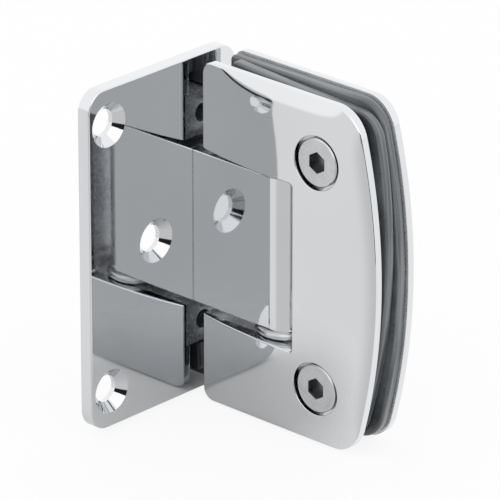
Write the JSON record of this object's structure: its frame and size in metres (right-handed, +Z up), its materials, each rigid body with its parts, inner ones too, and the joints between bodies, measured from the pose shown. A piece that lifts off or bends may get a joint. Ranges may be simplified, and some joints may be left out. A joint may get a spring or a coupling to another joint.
{
  "type": "glass door hinge",
  "caption": "Wall-mounted glass door hinge: offset wall plate with a knuckle block, and two domed clamps with gaskets that grip the glass and swing both ways on a vertical pin.",
  "frame": {"origin": "on the wall face, level with the middle of the wall plate, straight behind the pin axis", "axes": "+X out from the wall, +Y along the wall, +Z up; the leaf is closed, square to the wall"},
  "size_m": [0.0649, 0.053, 0.091],
  "materials": {
    "polished_chrome": "mirror-polished chrome plating on brass",
    "steel_screw": "zinc-plated steel",
    "satin_screw": "satin stainless steel",
    "black_screw": "blackened steel",
    "bronze": "sintered bronze",
    "washer_steel": "polished steel",
    "pin_steel": "ground stainless steel",
    "spring_steel": "drawn spring wire",
    "grey_gasket": "matt dark grey soft sheet",
    "clear_sleeve": "milky soft plastic"
  },
  "bodies": {
    "wall_side": {"wall_plate": "polished_chrome", "hinge_block": "polished_chrome", "upper_block_screw": "steel_screw", "lower_block_screw": "steel_screw", "upper_bush": "bronze", "lower_bush": "bronze", "upper_washer": "washer_steel", "lower_washer": "washer_steel", "upper_plunger": "pin_steel", "lower_plunger": "pin_steel", "upper_spring": "spring_steel", "lower_spring": "spring_steel", "upper_adjuster": "steel_screw", "lower_adjuster": "steel_screw"},
    "glass_side": {"pivot_pin": "pin_steel", "front_clamp": "polished_chrome", "back_clamp": "polished_chrome", "front_gasket": "grey_gasket", "middle_gasket": "grey_gasket", "back_gasket": "grey_gasket", "upper_clamp_screw": "satin_screw", "lower_clamp_screw": "satin_screw", "upper_screw_sleeve": "clear_sleeve", "lower_screw_sleeve": "clear_sleeve", "upper_set_screw": "black_screw", "lower_set_screw": "black_screw"}
  },
  "joints": [
    {"name": "door_swing", "type": "hinge", "parent": "wall_side", "child": "glass_side", "pos_m": [0.0294, 0, 0], "axis": [0, 0, 1], "range_deg": [-90, 90]}
  ]
}
